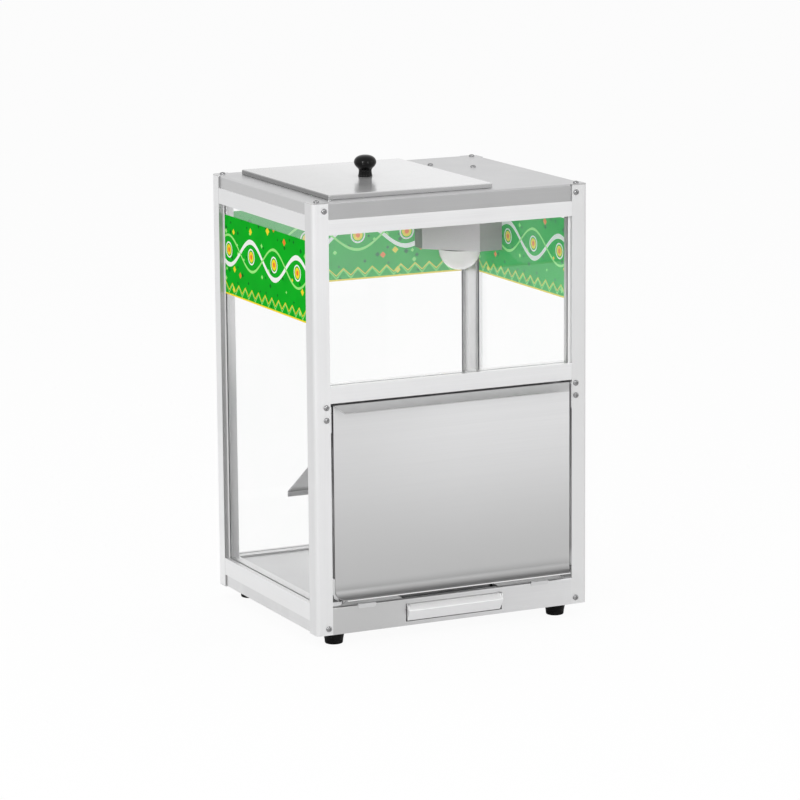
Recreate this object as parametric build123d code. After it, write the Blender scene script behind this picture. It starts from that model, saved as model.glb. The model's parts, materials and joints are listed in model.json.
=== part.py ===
from build123d import *
import math
import os

os.makedirs("parts", exist_ok=True)

# Overall cabinet, millimetres. Inside this file x and y are centred on the
# cabinet and z = 0 is the underside of the bottom pan; -y is the door side.
body_w = 400.0
body_d = 328.6
body_h = 571.0
foot_h = 17.5

# Clearances and fasteners
gap = 0.3
hole_gap = 0.05
through = 1.0
screw_r = 1.75
head_r = 3.8
head_h = 2.5
port_screw_l = 12.0
tap_l = 3.6

# Extruded frame
post_w = 23.0
corner_r = 6.0
wall = 1.6
seal_t = 0.75
groove_deep = 6.5
post_groove = 9.0
pane_set = 6.25
port_in = 11.3
web_l = 14.7
face_screw_in = 6.0

# Sheet metal
sheet_t = 1.2
thin_t = 1.0
bend_r = 1.2
skirt_set = 2.0
skirt_gap = 1.0
skirt_lap = 12.0
relief = 0.5
fold_keep = 4.0
fold_round = 1.6

# Rail bands: flush band and the band hidden behind a skirt
top_flush_front = 20.1
top_skirt_front = 20.8
top_flush_side = 21.0
top_skirt_side = 15.4
low_flush = 23.7
low_skirt = 17.0
low_skirt_gap = 0.4
mid_rail_z = 308.4
mid_rail_h = 23.0

# Glazing
glass_t = 3.0
glass_bite = 5.0
seal_bite = 6.3
seal_show = 2.8
seal_lap = 0.5
film_t = 0.2
film_gap = 0.6
film_below_rail = 14.6
film_h = 108.4

# Base panel and floor
base_h = 37.4
base_low_lap = 16.0
base_top_lap = 18.0
base_top_keep = 2.6
floor_front = 1.3
floor_lift = 0.1
floor_side_set = 2.0
floor_side_lap = 6.0
floor_skirt = 11.0
notch_w = 142.0
notch_x = -5.5
notch_d = 26.0
hook_x = 128.0
hook_w = 26.0
hook_drop = 6.5
hook_bend = 0.4

# Crumb tray, its slot and its runners
slot_w = 142.0
slot_h = 24.0
slot_z = 5.5
tray_side_gap = 2.0
tray_l = 250.0
tray_wall = 16.0
tray_rise = 2.0
tray_bend = 2.0
tray_front_gap = 0.2
pull_out = 8.0
pull_gap = 0.8
pull_fold_at = 16.0
pull_flare = 1.5
runner_past = 12.0
runner_foot = 12.0
runner_ledge = 9.0
runner_below = 3.0

# Door
door_side_gap = 3.7
door_top_gap = 0.7
door_above_base = 10.9
door_bend = 10.0
lip_out = 16.7
lip_drop = 9.6
lip_bend = 1.0
flange_out = 20.4
corner_cut = 9.0
return_d = 13.1
return_lip = 12.0
return_low = 26.0
return_high = 14.0
ear_r = 4.2
ear_in = 9.7
ear_low = 12.0
ear_high = 34.0
ear_reach = 8.0
pin_r = 1.75
hinge_y = 3.3
hinge_drop = 4.6

# Hinge lugs
lug_t = 1.5
lug_d = 19.0
lug_rise = 10.0
lug_round = 4.0
lug_slope_top = 6.3
lug_slope_low = 1.1
lug_tongue = 11.4
lug_tongue_foot = 7.4
lug_gap = 0.6
lug_eye_r = 3.6
pin_past = 3.0

# Catch brackets and magnets
catch_below_rail = 1.4
catch_h = 37.0
catch_round = 6.0
catch_wing = 22.0
catch_wing_low = 8.0
catch_screw_drops = (4.7, 21.4)
tongue_d = 2.8
post_screw_drop = 10.8
post_screw_rise = 8.7
magnet_w = 14.0
magnet_h = 20.0
magnet_round = 1.5

# Filling hole, lid and knob
lid_from_left = 33.0
lid_w = 237.5
lid_from_front = 21.3
lid_d = 282.0
lid_h = 6.5
lid_corner = 2.5
lid_edge = 1.6
hole_inset = 12.0
collar_h = 4.0
collar_corner = 3.0
knob_r = 16.3
knob_foot_r = 10.0
knob_neck_r = 9.4
knob_neck_h = 8.5
knob_wide_h = 20.0
knob_h = 28.8
knob_screw_l = 11.0

# Lamp housing and lamp
dome_r = 29.0
dome_edge = 1.4
dome_t = 2.0
dome_up = 8.0
dome_drop = 31.5
lamp_side = 35.0
lamp_front_room = 24.0
lamp_from_rear = 20.3
lamp_cut = 59.0
lamp_h = 114.3
lamp_in = 10.7
lamp_flange = 16.0
lamp_screw_in = 13.0
lamp_screw_far = 3.0
cup_t = 0.8
cup_gap = 0.05
cup_h = 44.0
cup_crown = 2.0
ring_out = 1.8
ring_drop = 1.4
bulb_r = 12.5
bulb_neck_r = 9.0
bulb_neck_h = 14.0
bulb_drop = 25.5

# Baffle behind the door
baffle_run = 115.5
baffle_fall = 79.6
baffle_below_rail = 63.9
baffle_lip = 7.0
baffle_leg = 66.0
baffle_gap = 0.5

# Feet
foot_past_x = 12.3
foot_past_y = 2.3
foot_top_r = 13.5
foot_low_r = 11.0
foot_bore_r = 5.5
foot_seat = 10.0
foot_screw_bite = 6.0

# Rear fittings
switch_in = 82.0
switch_rise = 9.4
switch_w = 28.0
switch_hh = 15.6
switch_rim = 2.0
switch_plate = 1.6
switch_deep = 14.0
rocker_l = 21.6
rocker_h = 8.0
rocker_room = 0.4
rocker_edge = 1.0
rocker_t = 2.5
rocker_pivot = 4.0
rocker_hub_r = 2.0
rocker_tilt = 9.0
gland_in = 48.0
gland_rise = 10.5
gland_out = 16.0
gland_nut = 5.0
gland_stem = 8.0
gland_r = 8.5
gland_bore_r = 3.4

# Derived
half_w = body_w / 2
half_d = body_d / 2
groove_w = glass_t + 2 * seal_t
glass_set = pane_set + seal_t
in_x = half_w - post_w
in_y = half_d - post_w
screw_in = post_w - face_screw_in
roof_z = body_h - sheet_t
side_rail_z = body_h - fold_round - top_skirt_side - top_flush_side
front_rail_z = body_h - fold_round - top_skirt_front - top_flush_front
low_rail_top = low_flush + low_skirt
step_in = skirt_set + sheet_t
skirt_x = in_x - skirt_gap
skirt_y = in_y - skirt_gap
y_shift = (flange_out - gland_out) / 2
place = Pos(0, y_shift, foot_h)
floor_top = base_h + thin_t + floor_lift
slot_top = slot_z + slot_h
tray_w = slot_w - 2 * tray_side_gap
tray_z = slot_z + tray_rise
door_x = in_x - door_side_gap
door_low = base_h + door_above_base
door_top = mid_rail_z - door_top_gap
door_back = -half_d + sheet_t
hinge_z = door_low - hinge_drop
hinge_y_at = -half_d + hinge_y
ear_x = door_x - ear_in
catch_z = mid_rail_z - catch_below_rail - catch_h
catch_screws = tuple(mid_rail_z - drop for drop in catch_screw_drops)
post_screws = (body_h - post_screw_drop, post_screw_rise)
lid_x0 = -half_w + lid_from_left
lid_x1 = lid_x0 + lid_w
lid_y0 = -half_d + lid_from_front
lid_y1 = lid_y0 + lid_d
lamp_left = in_x - 2 * dome_r - lamp_side
lamp_rear = in_y - lamp_from_rear
lamp_front = lamp_rear - 2 * dome_r - lamp_front_room
lamp_cut_x = lamp_left + lamp_cut
lamp_cut_y = lamp_front + lamp_cut
lamp_x = in_x - dome_r - lamp_in
lamp_y = lamp_rear - thin_t - dome_edge - dome_r
lamp_z = roof_z - lamp_h
lamp_screws = (
    (lamp_left + lamp_screw_in, lamp_cut_y - thin_t),
    (lamp_cut_x - lamp_screw_far, lamp_front + lamp_screw_in),
)
foot_x = in_x - foot_past_x
foot_y = in_y - foot_past_y
baffle_y = -in_y + baffle_run
baffle_top = mid_rail_z - baffle_below_rail
baffle_low = baffle_top - baffle_fall
film_z = side_rail_z - film_below_rail - film_h
switch_x = half_w - switch_in
switch_z = low_skirt + switch_rise
gland_x = half_w - gland_in
gland_z = low_skirt + gland_rise


def save(node, shape):
    solids = shape.solids() if not isinstance(shape, Solid) else [shape]
    out = solids[0] if len(solids) == 1 else Compound(children=[Compound([s]) for s in solids])
    export_step(place * out, "parts/" + node + ".step")
    print(node, len(solids))


def block(x0, x1, y0, y1, z0, z1):
    mid = ((x0 + x1) / 2, (y0 + y1) / 2, (z0 + z1) / 2)
    return Pos(*mid) * Box(x1 - x0, y1 - y0, z1 - z0)


def area(x0, x1, y0, y1):
    return Pos((x0 + x1) / 2, (y0 + y1) / 2) * Rectangle(x1 - x0, y1 - y0)


def face_of(points):
    return make_face(Polyline(*points, close=True))


def nearest(face, point):
    return face.vertices().sort_by_distance(Vector(point[0], point[1], 0))[0]


def rounded(points, radius, corners):
    face = face_of(points)
    for n in corners:
        face = fillet(nearest(face, points[n]), radius)
    return face


def square(low, high):
    return [(low, low), (high, low), (high, high), (low, high)]


def sheet(points, thick, radii):
    """Section of a folded sheet lying to the left of the path."""
    last = len(points) - 1
    ways = []
    for a, b in zip(points[:-1], points[1:]):
        length = math.hypot(b[0] - a[0], b[1] - a[1])
        ways.append(((b[0] - a[0]) / length, (b[1] - a[1]) / length))
    left = []
    for i, p in enumerate(points):
        before = ways[max(i - 1, 0)]
        after = ways[min(i, last - 1)]
        share = thick / (1 + before[0] * after[0] + before[1] * after[1])
        left.append((p[0] - (before[1] + after[1]) * share, p[1] + (before[0] + after[0]) * share))
    face = face_of(list(points) + left[::-1])
    for i in range(1, last):
        bend = ways[i - 1][0] * ways[i][1] - ways[i - 1][1] * ways[i][0]
        inner, outer = (left[i], points[i]) if bend > 0 else (points[i], left[i])
        face = fillet(nearest(face, inner), radii[i - 1])
        face = fillet(nearest(face, outer), radii[i - 1] + thick)
    return face


def along_x(face, x0, x1):
    return extrude(Plane.YZ.offset(x0) * face, x1 - x0)


def along_y(face, y0, y1):
    return extrude(Plane.XZ.offset(-y0) * face, -(y1 - y0))


def along_z(face, z0, z1):
    return extrude(Plane.XY.offset(z0) * face, z1 - z0)


def turned(points, x, y):
    """Solid of revolution about a vertical axis from (radius, z) points."""
    return Pos(x, y, 0) * revolve(Plane.XZ * face_of(points), Axis.Z)


def rod(a, b, r):
    start = Vector(*a)
    way = Vector(*b) - start
    return extrude(Plane(origin=start, z_dir=way) * Circle(r), way.length)


def drill_z(x, y, z, deep):
    return rod((x, y, z - deep), (x, y, z + deep), screw_r + hole_gap)


def screw(at, way, shank):
    """Plain pan head screw; way points out of the head."""
    profile = [(0, -shank), (screw_r, -shank), (screw_r, 0), (head_r, 0)]
    profile += [(head_r, head_h * 0.55), (head_r * 0.72, head_h * 0.9), (0, head_h)]
    return Plane(origin=at, z_dir=way) * revolve(Plane.XZ * face_of(profile), Axis.Z)


def both(shape):
    return [shape, mirror(shape, Plane.YZ)]


def four(shape):
    pair = both(shape)
    return pair + [mirror(s, Plane.XZ) for s in pair]


def save_pair(name, shape):
    """Saves the right-hand piece and its mirror image."""
    save(name + "_right", shape)
    save(name + "_left", mirror(shape, Plane.YZ))


def post_profile():
    """Post section with its outer corner at (0, 0) and the grooves inboard."""
    groove_end = pane_set + groove_w
    inner = post_w - post_groove
    out = post_w + through
    section = rounded(square(0, post_w), corner_r, [0])
    hollow = rounded(square(wall, post_w - wall), corner_r - wall, [0])
    hollow -= area(pane_set - wall, groove_end + wall, inner - wall, post_w)
    hollow -= area(inner - wall, post_w, pane_set - wall, groove_end + wall)
    # screw port in the middle, carried by a web from the outer corner
    port = Pos(port_in, port_in)
    hollow -= port * Circle(screw_r + hole_gap + wall)
    hollow -= Pos(port_in / 2, port_in / 2) * Rot(0, 0, 45) * Rectangle(web_l, wall)
    section -= hollow
    section -= area(pane_set, groove_end, inner, out)
    section -= area(inner, out, pane_set, groove_end)
    return section - port * Circle(screw_r + hole_gap)


def post(front):
    """Right-hand post; the front ones take the screws in their face."""
    body = mirror(along_z(post_profile(), sheet_t, roof_z), Plane.YZ)
    body = Pos(half_w, -half_d, 0) * body
    if not front:
        return mirror(body, Plane.XZ)
    x = half_w - screw_in
    for z in post_screws + catch_screws:
        body -= rod((x, -half_d - through, z), (x, -half_d + pane_set + through, z), screw_r + hole_gap)
    return body


def rail_profile(height, flush, skirt):
    """Section in (depth from the outer face, height) with the groove below."""
    groove_end = pane_set + groove_w
    low = groove_deep + wall
    body = area(0, post_w, 0, flush)
    if skirt:
        # the band behind the skirt is set back and clears the bend of the fold
        c = bend_r + hole_gap * 4
        body += face_of([(step_in, flush - through), (post_w, flush - through), (post_w, height),
                         (step_in + c, height), (step_in, height - c)])
        body -= area(step_in + wall, post_w - wall, flush, height - wall)
    body -= area(pane_set, groove_end, -through, groove_deep)
    body -= area(wall, post_w - wall, low, flush - wall)
    return body


def flip(face, height):
    """Turns a rail section upside down so that its groove is on top."""
    return Pos(0, height) * mirror(face, Plane.XZ)


def front_rail(face, z):
    return along_x(Pos(-half_d, z) * face, -in_x, in_x)


def side_rail(face, z):
    return along_y(Pos(-half_w, z) * face, -in_y, in_y)


def rails():
    save("top_rail_front", front_rail(rail_profile(roof_z - front_rail_z, top_flush_front, True), front_rail_z))
    high = rail_profile(roof_z - side_rail_z, top_flush_side, True)
    save("top_rail_rear", mirror(front_rail(high, side_rail_z), Plane.XZ))
    save_pair("top_rail", mirror(side_rail(high, side_rail_z), Plane.YZ))
    save("mid_rail_front", front_rail(flip(rail_profile(mid_rail_h, mid_rail_h, False), mid_rail_h), mid_rail_z))
    low_h = low_rail_top - sheet_t
    low = flip(rail_profile(low_h, low_flush, True), low_h)
    save_pair("bottom_rail", mirror(side_rail(low, sheet_t), Plane.YZ))
    rear = mirror(front_rail(low, sheet_t), Plane.XZ)
    # cut-outs for the rocker switch and the cord gland
    w = switch_w / 2
    h = switch_hh / 2 - switch_rim
    rear -= block(switch_x - w, switch_x + w, in_y - through, half_d + through, switch_z - h, switch_z + h)
    stem = gland_r - 2.5 + hole_gap
    rear -= rod((gland_x, in_y - through, gland_z), (gland_x, half_d + through, gland_z), stem)
    save("bottom_rail_rear", rear)


def deck(low, front_y):
    """Flat plate across the post ends, cut back to the bends of its skirts."""
    high = low + sheet_t
    plan = [(-half_w, -half_d), (half_w, -half_d), (half_w, half_d), (-half_w, half_d)]
    plate = along_z(rounded(plan, corner_r, range(4)), low, high)
    x = skirt_x + relief
    y = skirt_y + relief
    corners = plate - block(-x, x, -body_d, body_d, low - through, high + through)
    corners -= block(-body_w, body_w, -y, y, low - through, high + through)
    x = half_w - skirt_set - fold_keep
    y = half_d - skirt_set - fold_keep
    return corners + (plate & block(-x, x, front_y, y, low - through, high + through))


def skirt(edge, face_z, end_z):
    """Section of one skirt with the strip of flat sheet that carries it."""
    way = 1 if edge < 0 else -1
    points = [(edge + way * skirt_lap, face_z), (edge + way * skirt_set, face_z)]
    return sheet(points + [(edge + way * skirt_set, end_z)], sheet_t, [bend_r])


def roof_panel():
    body = deck(roof_z, -half_d + skirt_set + fold_keep)
    x0, x1 = lid_x0 + hole_inset, lid_x1 - hole_inset
    y0, y1 = lid_y0 + hole_inset, lid_y1 - hole_inset
    # up-turned collar round the filling hole
    collar = block(x0 - thin_t, x1 + thin_t, y0 - thin_t, y1 + thin_t, roof_z, body_h + collar_h)
    collar = fillet(collar.edges().filter_by(Axis.Z), collar_corner + thin_t)
    hole = block(x0, x1, y0, y1, roof_z - through, body_h + collar_h + through)
    body += collar
    body -= fillet(hole.edges().filter_by(Axis.Z), collar_corner)
    # the front skirt is deeper than the other three
    front_end = body_h - top_skirt_front - fold_round
    side_end = body_h - top_skirt_side - fold_round
    body += along_x(skirt(-half_d, body_h, front_end), -skirt_x, skirt_x)
    body += mirror(along_x(skirt(-half_d, body_h, side_end), -skirt_x, skirt_x), Plane.XZ)
    for piece in both(along_y(skirt(-half_w, body_h, side_end), -skirt_y, skirt_y)):
        body += piece
    for hole in four(drill_z(half_w - port_in, half_d - port_in, roof_z, sheet_t * 2)):
        body -= hole
    for x, y in lamp_screws:
        body -= drill_z(x, y, roof_z, sheet_t * 2)
    save("roof_panel", body)


def bottom_pan():
    body = deck(0, -half_d)
    # the front is cut back behind the base panel and has no skirt
    body -= block(-in_x, in_x, -half_d - through, -half_d + sheet_t, -through, sheet_t + through)
    end = low_skirt - low_skirt_gap
    body += along_x(skirt(half_d, 0, end), -skirt_x, skirt_x)
    for piece in both(along_y(skirt(half_w, 0, end), -skirt_y, skirt_y)):
        body += piece
    holes = four(drill_z(half_w - port_in, half_d - port_in, 0, sheet_t * 2))
    for hole in holes + four(drill_z(foot_x, foot_y, 0, sheet_t * 2)):
        body -= hole
    save("bottom_pan", body)


def glazing(name, half, z0, z1, turn):
    """One pane and its edge seal, built for the front and turned into place."""
    groove_end = pane_set + groove_w
    wide = half + glass_bite
    pane = block(-wide, wide, glass_set, glass_set + glass_t, z0 - glass_bite, z1 + glass_bite)
    wide = half + seal_bite
    ring = block(-wide, wide, pane_set, groove_end, z0 - seal_bite, z1 + seal_bite)
    wide = half - seal_show
    ring -= block(-wide, wide, 0, post_w, z0 - seal_lap, z1 + seal_lap)
    save("glass_" + name, turn * pane)
    save("seal_" + name, turn * (ring - pane))


def film(name, half, turn):
    edge = half - seal_show - film_gap
    body = block(-edge, edge, glass_set - film_t, glass_set, film_z, film_z + film_h)
    save("banner_" + name, turn * body)


def panes():
    front = Pos(0, -half_d, 0)
    rear = Pos(0, half_d, 0) * Rot(0, 0, 180)
    left = Pos(-half_w, 0, 0) * Rot(0, 0, -90)
    right = Pos(half_w, 0, 0) * Rot(0, 0, 90)
    glazing("front", in_x, mid_rail_z + mid_rail_h, front_rail_z, front)
    glazing("rear", in_x, low_rail_top, side_rail_z, rear)
    glazing("left", in_y, low_rail_top, side_rail_z, left)
    glazing("right", in_y, low_rail_top, side_rail_z, right)
    film("rear", in_x, rear)
    film("left", in_y, left)
    film("right", in_y, right)


def base_panel():
    y0 = -half_d
    points = [(y0 + base_top_lap, base_h), (y0, base_h), (y0, sheet_t), (y0 + base_low_lap, sheet_t)]
    body = along_x(sheet(points, sheet_t, [bend_r * 1.5, bend_r]), -in_x, in_x)
    body += block(-in_x, in_x, y0, y0 + sheet_t, 0, 3 * sheet_t)
    body -= block(-slot_w / 2, slot_w / 2, y0 - through, y0 + post_w, slot_z, slot_top)
    # the top flange is cut away under the crumb notch of the floor
    x0, x1 = notch_x - notch_w / 2, notch_x + notch_w / 2
    body -= block(x0, x1, y0 + base_top_keep, y0 + post_w, base_h - 2 * sheet_t, base_h + through)
    save("base_panel_front", body)


def floor_panel():
    y0 = -half_d + floor_front
    y1 = in_y - gap
    x = in_x - gap
    z0 = floor_top - thin_t
    y_fold = -in_y + floor_side_set
    flat = block(-x, x, y0, y1, z0, floor_top)
    x0, x1 = notch_x - notch_w / 2, notch_x + notch_w / 2
    flat -= block(x0, x1, y0 - through, y0 + notch_d, z0 - through, floor_top + through)
    edge = block(x - floor_side_lap + through, x + through, y_fold, y1 - floor_side_set, z0 - through, floor_top + through)
    turn = sheet([(-x + floor_side_lap, floor_top), (-x, floor_top), (-x, floor_top - floor_skirt)], thin_t, [bend_r])
    side = mirror(along_y(turn, y_fold, y1 - floor_side_set), Plane.YZ)
    for cut, piece in zip(both(edge), both(side)):
        flat = flat - cut + piece
    # two tongues hooked over the base panel
    y_hook = -half_d - thin_t
    hook = sheet([(y0 + 6 * thin_t, floor_top), (y_hook, floor_top), (y_hook, floor_top - hook_drop)], thin_t, [hook_bend])
    for piece in both(along_x(hook, hook_x - hook_w / 2, hook_x + hook_w / 2)):
        flat += piece
    save("floor_panel", flat)


def baffle():
    x = in_x - baffle_gap
    points = [(-in_y, baffle_top + baffle_leg), (-in_y, baffle_top), (baffle_y, baffle_low), (baffle_y, baffle_low - baffle_lip)]
    save("baffle", along_x(sheet(points, thin_t, [2 * thin_t, 1.5 * thin_t]), -x, x))


def door_corners(z0, z1, out):
    """Wedges that cut the ends of the lip and the flange back at an angle."""
    far = -half_d - out - 5 * sheet_t
    edge = door_x + corner_cut
    wedge = face_of([(door_x, -half_d), (door_x - corner_cut, -half_d - out), (door_x - corner_cut, far),
                     (edge, far), (edge, -half_d)])
    return both(along_z(wedge, z0, z1))


def door_ear():
    """Tab behind the face that hangs on the hinge pin."""
    y0 = door_back - 0.2
    y1 = door_back + ear_reach
    side = 0.9 * ear_r
    eye = Pos(hinge_y_at, hinge_z)
    ear = face_of([(y0, door_low + ear_high), (y0, door_low + ear_low), (hinge_y_at - side, hinge_z + ear_r / 2),
                   (hinge_y_at, hinge_z), (hinge_y_at + side, hinge_z + ear_r / 2),
                   (y1, door_low + (ear_low + ear_high) / 2), (y1, door_low + ear_high)])
    ear = ear + eye * Circle(ear_r) - eye * Circle(pin_r + hole_gap)
    return along_x(ear, ear_x - sheet_t, ear_x)


def door():
    slope = lip_drop / lip_out
    tip = (-half_d - lip_out, door_top - (lip_out + sheet_t) * slope)
    path = [(-half_d - flange_out, door_low), (door_back, door_low), (door_back, door_top), tip]
    body = along_x(sheet(path, sheet_t, [door_bend, lip_bend]), -door_x, door_x)
    cuts = door_corners(door_top - 2 * lip_out, door_top + sheet_t, lip_out)
    for piece in cuts + door_corners(door_low - sheet_t, door_low + door_bend, flange_out):
        body -= piece
    # side returns folded inward, each with a stiffening lip
    back = door_back + return_d
    side = sheet([(door_x, door_back - 0.2), (door_x, back), (door_x - return_lip, back)], sheet_t, [bend_r])
    fold = along_z(side, door_low + return_low, door_top - return_high)
    for piece in both(fold) + both(door_ear()):
        body += piece
    save("door_panel", body)


def hinge_lug():
    """Bracket on the inner side of the post with the hinge pin."""
    y0 = -half_d
    low = floor_top + gap
    base = block(in_x - lug_t, in_x, y0, y0 + lug_d, low, hinge_z + lug_rise)
    base = fillet(base.edges().filter_by(Axis.X).sort_by(Axis.Z)[-2:], lug_round)
    out = in_x - lug_tongue
    tongue = face_of([(in_x, hinge_z + lug_slope_top), (out, hinge_z - lug_slope_low), (out, low + lug_gap),
                      (in_x - lug_tongue_foot, low), (in_x, low)])
    base += along_y(tongue, y0, y0 + lug_t)
    x0 = ear_x + lug_gap
    eye = Pos(hinge_y_at, hinge_z)
    base += block(x0, x0 + lug_t, y0, hinge_y_at + lug_eye_r, hinge_z - lug_eye_r, hinge_z + through)
    base += along_x(eye * Circle(lug_eye_r), x0, x0 + lug_t)
    base += along_x(eye * Circle(pin_r), ear_x - sheet_t - pin_past, x0 + lug_t / 2)
    return base


def catch_bracket():
    """Folded bracket with a tongue tapped for the two face screws."""
    y0 = -half_d
    top = catch_z + catch_h
    leg = block(in_x - sheet_t, in_x, y0 + 0.5, -in_y, catch_z, top)
    leg = fillet(leg.edges().filter_by(Axis.X).sort_by(Axis.Y)[:2].sort_by(Axis.Z)[-1], catch_round)
    wing = block(in_x - catch_wing, in_x, -in_y - sheet_t, -in_y, catch_z, top - catch_wing_low)
    t0 = y0 + pane_set + (groove_w - tongue_d) / 2
    body = leg + wing
    body += block(in_x - 0.5, in_x + post_groove - gap, t0, t0 + tongue_d, catch_z + 4, top + through)
    x = half_w - screw_in
    for z in catch_screws:
        body -= rod((x, y0, z), (x, y0 + pane_set + groove_w, z), screw_r + hole_gap)
    return body


def magnet():
    x1 = in_x - sheet_t - 5.5
    y0 = door_back + return_d + gap
    body = block(x1 - magnet_w, x1, y0, -in_y - sheet_t, catch_z + 4, catch_z + 4 + magnet_h)
    return fillet(body.edges().filter_by(Axis.Y), magnet_round)


def crumb_tray():
    """Tub folded from thin sheet with a V-shaped pull on its front edge."""
    w = tray_w / 2
    y0 = -half_d + tray_front_gap
    y1 = -half_d + tray_l
    top = tray_z + tray_wall
    tub = block(-w, w, y0, y1, tray_z, top)
    tub = fillet(tub.edges().filter_by(Axis.Y).sort_by(Axis.Z)[:2], tray_bend)
    room = block(-w + thin_t, w - thin_t, y0 + thin_t, y1 - thin_t, tray_z + thin_t, top + through)
    tub -= fillet(room.edges().filter_by(Axis.Y).sort_by(Axis.Z)[:2], tray_bend - thin_t)
    wide = slot_w / 2 - through
    y_root = -half_d + 2 * tray_front_gap
    path = [(y_root, slot_top - 2 * gap), (-half_d - pull_out, slot_z + pull_fold_at), (y_root, slot_z + pull_gap)]
    pull = along_x(sheet(path, thin_t, [0.6]), -wide, wide)
    # its ends flare a little towards the top
    flare = face_of([(-wide + pull_flare, 0), (wide - pull_flare, 0), (wide, slot_top), (-wide, slot_top)])
    pull &= along_y(flare, -half_d - 2 * pull_out, -half_d + 2 * pull_out)
    save("crumb_tray", tub + pull)


def tray_runners():
    x = slot_w / 2
    y0 = -half_d + base_low_lap + gap
    y1 = -half_d + tray_l + runner_past
    top = slot_top - runner_below
    low = tray_z - gap
    body = block(x, x + thin_t, y0, y1, sheet_t, top)
    body += block(x, x + runner_foot, y0, y1, sheet_t, sheet_t + thin_t)
    body += block(x - runner_ledge, x + thin_t, y0, y1, low - thin_t, low)
    body += block(x - runner_ledge, x, y1 - thin_t, y1, low, top)
    save_pair("tray_runner", body)


def knob_profile():
    neck = (knob_neck_r, knob_neck_h)
    wide = (knob_r, knob_wide_h)
    shoulder = (knob_r * 0.86, knob_neck_h + 6.7)
    crown = (knob_r * 0.8, knob_wide_h + 5.2)
    edge = Line((0, 0), (knob_foot_r, 0)) + Line((knob_foot_r, 0), neck)
    edge += Spline([neck, shoulder, wide], tangents=[(0, 1), (0, 1)])
    edge += Spline([wide, crown, (0, knob_h)], tangents=[(0, 1), (-1, 0)])
    return make_face(edge + Line((0, knob_h), (0, 0)))


def lid():
    z1 = body_h + lid_h
    outer = block(lid_x0, lid_x1, lid_y0, lid_y1, body_h + gap, z1)
    outer = fillet(outer.edges().filter_by(Axis.Z), lid_corner)
    outer = fillet(outer.faces().sort_by(Axis.Z)[-1].edges(), lid_edge)
    t = thin_t
    room = block(lid_x0 + t, lid_x1 - t, lid_y0 + t, lid_y1 - t, body_h - through, z1 - t)
    room = fillet(room.edges().filter_by(Axis.Z), lid_corner - t)
    cx = (lid_x0 + lid_x1) / 2
    cy = (lid_y0 + lid_y1) / 2
    save("lid_panel", outer - room - drill_z(cx, cy, z1, 2 * t))
    knob = Pos(cx, cy, z1) * revolve(Plane.XZ * knob_profile(), Axis.Z)
    save("lid_knob", knob - drill_z(cx, cy, z1, knob_screw_l + through))
    save("knob_screw", screw((cx, cy, z1 - t), (0, 0, -1), knob_screw_l))


def lamp_plan(inset):
    """Plan outline of the lamp housing, moved inward by inset."""
    k = inset * (math.sqrt(2) - 1)
    x0 = lamp_left + inset
    x1 = in_x - inset
    y0 = lamp_front + inset
    y1 = lamp_rear - inset
    return face_of([(x0, lamp_cut_y + k), (lamp_cut_x + k, y0), (x1, y0), (x1, y1), (x0, y1)])


def lamp_housing():
    body = along_z(lamp_plan(0), lamp_z, roof_z)
    body -= along_z(lamp_plan(thin_t), lamp_z + thin_t, roof_z + through)
    # flange turned inward under the roof
    body += along_z(lamp_plan(0) - lamp_plan(lamp_flange), roof_z - thin_t, roof_z)
    body -= rod((lamp_x, lamp_y, lamp_z - through), (lamp_x, lamp_y, lamp_z + 2 * thin_t), dome_r + gap)
    for x, y in lamp_screws:
        body -= drill_z(x, y, roof_z, 2 * thin_t)
    save("lamp_housing", body)


def lamp_fittings():
    inner = dome_r + cup_gap
    seat = lamp_z + thin_t
    top = seat + cup_h + cup_t
    cup = [(inner, seat), (inner + cup_t, seat), (inner + cup_t, top - cup_crown), (dome_r - cup_crown, top), (0, top),
           (0, top - cup_t), (dome_r - cup_crown, top - cup_t), (inner, top - cup_crown - cup_t / 2)]
    save("lamp_cup", turned(cup, lamp_x, lamp_y))
    out = dome_r + ring_out
    low = lamp_z - ring_drop
    ring = [(dome_r + 2 * cup_gap, low), (out - 0.4, low), (out, low + 0.4), (out, lamp_z), (dome_r + 2 * cup_gap, lamp_z)]
    save("lamp_ring", turned(ring, lamp_x, lamp_y))
    top -= cup_t
    bulb = [(0, top), (bulb_neck_r, top), (bulb_neck_r, top - bulb_neck_h), (bulb_neck_r - 2, top - bulb_neck_h - 2)]
    for angle in range(40, 181, 20):
        turn = math.radians(angle)
        bulb.append((bulb_r * math.sin(turn), top - bulb_drop + bulb_r * math.cos(turn)))
    save("lamp_bulb", turned(bulb, lamp_x, lamp_y))


def lamp_dome():
    """Round-ended glass cover hanging below the housing."""
    top = lamp_z + dome_up
    low = lamp_z - dome_drop + dome_r
    inner = dome_r - dome_t
    edge = Line((dome_r, top), (dome_r, low)) + CenterArc((0, low), dome_r, 270, 90)
    edge += Line((0, low - dome_r), (0, low - inner)) + CenterArc((0, low), inner, 270, 90)
    edge += Line((inner, low), (inner, top)) + Line((inner, top), (dome_r, top))
    save("lamp_dome", Pos(lamp_x, lamp_y, 0) * revolve(Plane.XZ * make_face(edge), Axis.Z))


def feet():
    bore = screw_r + hole_gap
    seat = -foot_h + foot_seat
    profile = [(foot_bore_r, -foot_h), (foot_low_r - 1, -foot_h), (foot_low_r, -foot_h + 1), (foot_top_r, -1),
               (foot_top_r, 0), (bore, 0), (bore, seat), (foot_bore_r, seat)]
    names = ("foot_rear_right", "foot_rear_left", "foot_front_right", "foot_front_left")
    for name, shape in zip(names, four(turned(profile, foot_x, foot_y))):
        save(name, shape)
    head = screw((foot_x, foot_y, seat), (0, 0, -1), -seat + foot_screw_bite)
    save("foot_screws", Compound(children=four(head)))


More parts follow.
